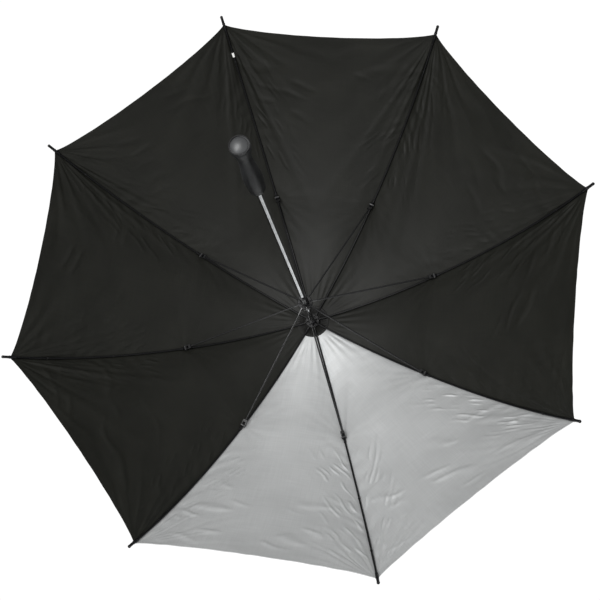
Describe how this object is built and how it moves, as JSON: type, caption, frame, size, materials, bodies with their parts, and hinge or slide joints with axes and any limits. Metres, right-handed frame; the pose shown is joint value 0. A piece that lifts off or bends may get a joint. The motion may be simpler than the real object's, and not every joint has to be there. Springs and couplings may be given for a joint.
{
  "type": "umbrella reflector",
  "caption": "Round-topped stick umbrella used as a light reflector: folding ribs and stretchers, sliding runner, black cloth canopy with a silver section, waisted straight grip.",
  "frame": {"origin": "on the shaft's axis, 95 mm above the top of the grip, at the middle of the bare stretch that a stand's umbrella holder clamps", "axes": "+Z along the shaft towards the ferrule, +X from the axis towards the tip of rib 0, which lies opposite the seam between the two silver gores"},
  "size_m": [1.1152, 1.1152, 0.926],
  "materials": {
    "shaft_plating": "polished plated steel tube, dark where it mirrors the black cloth",
    "black_plastic": "moulded black nylon, satin",
    "rib_rod": "black fibreglass rod, slightly glossy",
    "stretcher_metal": "black lacquered steel, glossy",
    "hinge_wire": "bright steel wire",
    "catch_steel": "spring steel",
    "black_cloth": "woven black polyester, matte",
    "silver_cloth": "silver-grey coated polyester, fine grain",
    "grip_foam": "black soft-touch rubber, matte",
    "grip_trim": "dark polished rim",
    "end_cap_grey": "dark grey satin cap"
  },
  "bodies": {
    "root": {"shaft": "shaft_plating", "crown": "black_plastic", "crown_wire": "hinge_wire", "inner_patch": "black_cloth", "outer_patch": "black_cloth", "ferrule": "black_plastic", "ferrule_cap": "black_plastic", "grip": "grip_foam", "grip_ring": "grip_trim", "grip_end_cap": "end_cap_grey", "runner_stop": "catch_steel"},
    "runner": {"runner": "black_plastic", "runner_wire": "hinge_wire"},
    "top_catch": {"top_catch": "catch_steel"},
    "bottom_catch": {"bottom_catch": "catch_steel"},
    "rib_0": {"rib_0": "rib_rod", "connector_0": "black_plastic", "tip_0": "black_plastic", "canopy_0": "black_cloth"},
    "stretcher_0": {"stretcher_0": "stretcher_metal"},
    "rib_1": {"rib_1": "rib_rod", "connector_1": "black_plastic", "tip_1": "black_plastic", "canopy_1": "black_cloth"},
    "stretcher_1": {"stretcher_1": "stretcher_metal"},
    "rib_2": {"rib_2": "rib_rod", "connector_2": "black_plastic", "tip_2": "black_plastic", "canopy_2": "black_cloth"},
    "stretcher_2": {"stretcher_2": "stretcher_metal"},
    "rib_3": {"rib_3": "rib_rod", "connector_3": "black_plastic", "tip_3": "black_plastic", "canopy_3": "silver_cloth"},
    "stretcher_3": {"stretcher_3": "stretcher_metal"},
    "rib_4": {"rib_4": "rib_rod", "connector_4": "black_plastic", "tip_4": "black_plastic", "canopy_4": "silver_cloth"},
    "stretcher_4": {"stretcher_4": "stretcher_metal"},
    "rib_5": {"rib_5": "rib_rod", "connector_5": "black_plastic", "tip_5": "black_plastic", "canopy_5": "black_cloth"},
    "stretcher_5": {"stretcher_5": "stretcher_metal"},
    "rib_6": {"rib_6": "rib_rod", "connector_6": "black_plastic", "tip_6": "black_plastic", "canopy_6": "black_cloth"},
    "stretcher_6": {"stretcher_6": "stretcher_metal"},
    "rib_7": {"rib_7": "rib_rod", "connector_7": "black_plastic", "tip_7": "black_plastic", "canopy_7": "black_cloth"},
    "stretcher_7": {"stretcher_7": "stretcher_metal"}
  },
  "joints": [
    {"name": "runner_slide", "type": "slide", "parent": "root", "child": "runner", "axis": [0, 0, -1], "range_m": [0, 0.36954]},
    {"name": "top_catch_press", "type": "slide", "parent": "root", "child": "top_catch", "axis": [-0.9239, -0.3827, 0], "range_m": [0, 0.002], "stiffness_N_per_m": 400, "springref_m": -0.002},
    {"name": "bottom_catch_press", "type": "slide", "parent": "root", "child": "bottom_catch", "axis": [-0.9239, -0.3827, 0], "range_m": [0, 0.002], "stiffness_N_per_m": 400, "springref_m": -0.002},
    {"name": "rib_hinge_0", "type": "hinge", "parent": "root", "child": "rib_0", "pos_m": [0.012, 0, 0.625], "axis": [0, 1, 0], "range_deg": [0, 57.1], "deforming": ["canopy_0"]},
    {"name": "stretcher_hinge_0", "type": "hinge", "parent": "rib_0", "child": "stretcher_0", "pos_m": [0.27065, 0, 0.5544], "axis": [0, 1, 0], "range_deg": [-114.2, 0]},
    {"name": "rib_hinge_1", "type": "hinge", "parent": "root", "child": "rib_1", "pos_m": [0.00848, 0.00848, 0.625], "axis": [-0.7071, 0.7071, 0], "range_deg": [0, 57.1], "deforming": ["canopy_1"]},
    {"name": "stretcher_hinge_1", "type": "hinge", "parent": "rib_1", "child": "stretcher_1", "pos_m": [0.19137, 0.19137, 0.5544], "axis": [-0.7071, 0.7071, 0], "range_deg": [-114.2, 0]},
    {"name": "rib_hinge_2", "type": "hinge", "parent": "root", "child": "rib_2", "pos_m": [0, 0.012, 0.625], "axis": [-1, 0, 0], "range_deg": [0, 57.1], "deforming": ["canopy_2"]},
    {"name": "stretcher_hinge_2", "type": "hinge", "parent": "rib_2", "child": "stretcher_2", "pos_m": [0, 0.27065, 0.5544], "axis": [-1, 0, 0], "range_deg": [-114.2, 0]},
    {"name": "rib_hinge_3", "type": "hinge", "parent": "root", "child": "rib_3", "pos_m": [-0.00848, 0.00848, 0.625], "axis": [-0.7071, -0.7071, 0], "range_deg": [0, 57.1], "deforming": ["canopy_3"]},
    {"name": "stretcher_hinge_3", "type": "hinge", "parent": "rib_3", "child": "stretcher_3", "pos_m": [-0.19137, 0.19137, 0.5544], "axis": [-0.7071, -0.7071, 0], "range_deg": [-114.2, 0]},
    {"name": "rib_hinge_4", "type": "hinge", "parent": "root", "child": "rib_4", "pos_m": [-0.012, 0, 0.625], "axis": [0, -1, 0], "range_deg": [0, 57.1], "deforming": ["canopy_4"]},
    {"name": "stretcher_hinge_4", "type": "hinge", "parent": "rib_4", "child": "stretcher_4", "pos_m": [-0.27065, 0, 0.5544], "axis": [0, -1, 0], "range_deg": [-114.2, 0]},
    {"name": "rib_hinge_5", "type": "hinge", "parent": "root", "child": "rib_5", "pos_m": [-0.00848, -0.00848, 0.625], "axis": [0.7071, -0.7071, 0], "range_deg": [0, 57.1], "deforming": ["canopy_5"]},
    {"name": "stretcher_hinge_5", "type": "hinge", "parent": "rib_5", "child": "stretcher_5", "pos_m": [-0.19137, -0.19137, 0.5544], "axis": [0.7071, -0.7071, 0], "range_deg": [-114.2, 0]},
    {"name": "rib_hinge_6", "type": "hinge", "parent": "root", "child": "rib_6", "pos_m": [0, -0.012, 0.625], "axis": [1, 0, 0], "range_deg": [0, 57.1], "deforming": ["canopy_6"]},
    {"name": "stretcher_hinge_6", "type": "hinge", "parent": "rib_6", "child": "stretcher_6", "pos_m": [0, -0.27065, 0.5544], "axis": [1, 0, 0], "range_deg": [-114.2, 0]},
    {"name": "rib_hinge_7", "type": "hinge", "parent": "root", "child": "rib_7", "pos_m": [0.00848, -0.00848, 0.625], "axis": [0.7071, 0.7071, 0], "range_deg": [0, 57.1], "deforming": ["canopy_7"]},
    {"name": "stretcher_hinge_7", "type": "hinge", "parent": "rib_7", "child": "stretcher_7", "pos_m": [0.19137, -0.19137, 0.5544], "axis": [0.7071, 0.7071, 0], "range_deg": [-114.2, 0]}
  ],
  "couplings": [
    {"joint": "rib_hinge_0", "follows": "runner_slide", "rad_per_m": 2.6921},
    {"joint": "stretcher_hinge_0", "follows": "runner_slide", "rad_per_m": -5.3842},
    {"joint": "rib_hinge_1", "follows": "runner_slide", "rad_per_m": 2.6921},
    {"joint": "stretcher_hinge_1", "follows": "runner_slide", "rad_per_m": -5.3842},
    {"joint": "rib_hinge_2", "follows": "runner_slide", "rad_per_m": 2.6921},
    {"joint": "stretcher_hinge_2", "follows": "runner_slide", "rad_per_m": -5.3842},
    {"joint": "rib_hinge_3", "follows": "runner_slide", "rad_per_m": 2.6921},
    {"joint": "stretcher_hinge_3", "follows": "runner_slide", "rad_per_m": -5.3842},
    {"joint": "rib_hinge_4", "follows": "runner_slide", "rad_per_m": 2.6921},
    {"joint": "stretcher_hinge_4", "follows": "runner_slide", "rad_per_m": -5.3842},
    {"joint": "rib_hinge_5", "follows": "runner_slide", "rad_per_m": 2.6921},
    {"joint": "stretcher_hinge_5", "follows": "runner_slide", "rad_per_m": -5.3842},
    {"joint": "rib_hinge_6", "follows": "runner_slide", "rad_per_m": 2.6921},
    {"joint": "stretcher_hinge_6", "follows": "runner_slide", "rad_per_m": -5.3842},
    {"joint": "rib_hinge_7", "follows": "runner_slide", "rad_per_m": 2.6921},
    {"joint": "stretcher_hinge_7", "follows": "runner_slide", "rad_per_m": -5.3842}
  ]
}
